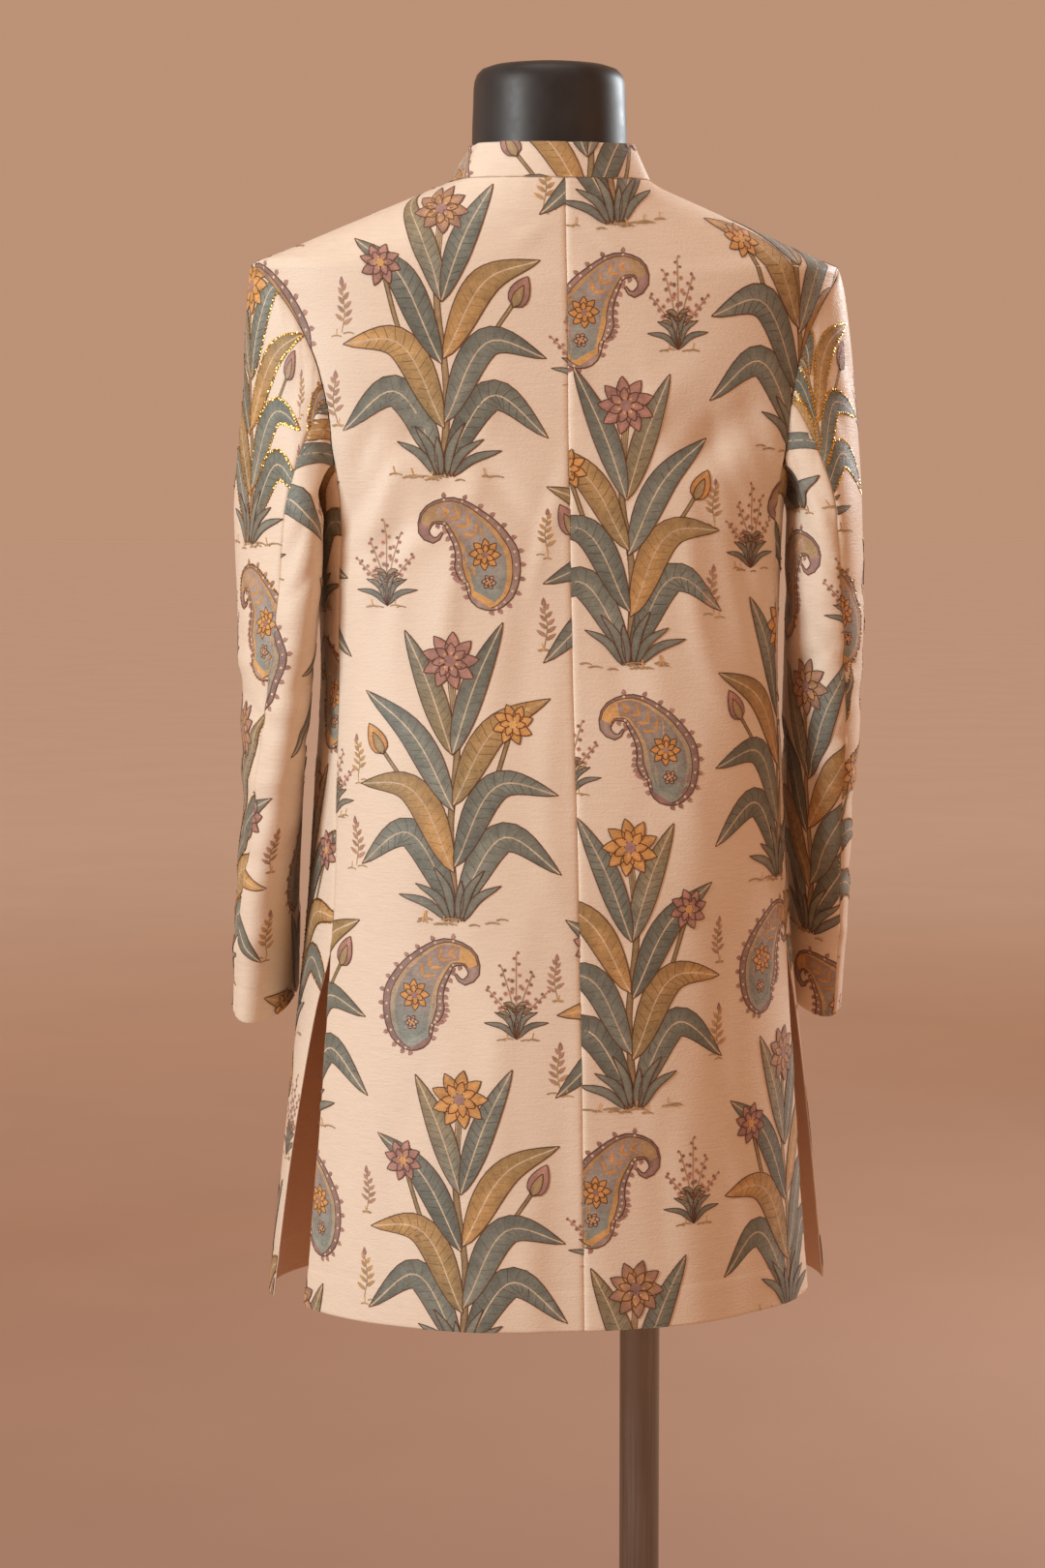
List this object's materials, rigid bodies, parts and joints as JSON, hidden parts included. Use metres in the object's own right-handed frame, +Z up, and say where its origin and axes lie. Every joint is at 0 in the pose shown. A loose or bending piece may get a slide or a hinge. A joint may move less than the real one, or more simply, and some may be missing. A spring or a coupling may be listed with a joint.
{
  "type": "sherwani on dress form",
  "caption": "Knee-high short sherwani with stand collar, long sleeves and side-back vents, worn by a limbless dress form on a pole and round base.",
  "frame": {"origin": "on the floor under the middle of the form, at the bottom centre of the part's box", "axes": "+Z up, -Y to the wearer's front, +X to the wearer's left"},
  "size_m": [0.5168, 0.38, 1.597],
  "materials": {
    "sherwani_cloth": "soft satin crepe with a printed booti design and gold thread",
    "button_cloth": "satin-covered domed button",
    "form_cover": "matte black jersey",
    "cap_black": "matte black",
    "stand_steel": "satin steel",
    "base_steel": "satin powder coat"
  },
  "bodies": {
    "root": {"back_left": "sherwani_cloth", "front_left": "sherwani_cloth", "top_sleeve_left": "sherwani_cloth", "under_sleeve_left": "sherwani_cloth", "back_right": "sherwani_cloth", "front_right": "sherwani_cloth", "top_sleeve_right": "sherwani_cloth", "under_sleeve_right": "sherwani_cloth", "collar": "sherwani_cloth", "button_1": "button_cloth", "button_2": "button_cloth", "button_3": "button_cloth", "button_4": "button_cloth", "button_5": "button_cloth", "button_6": "button_cloth", "button_7": "button_cloth", "form_torso": "form_cover", "neck_cap": "cap_black", "form_flange": "stand_steel", "pole": "stand_steel", "base_socket": "stand_steel", "base_plate": "base_steel"}
  },
  "joints": []
}
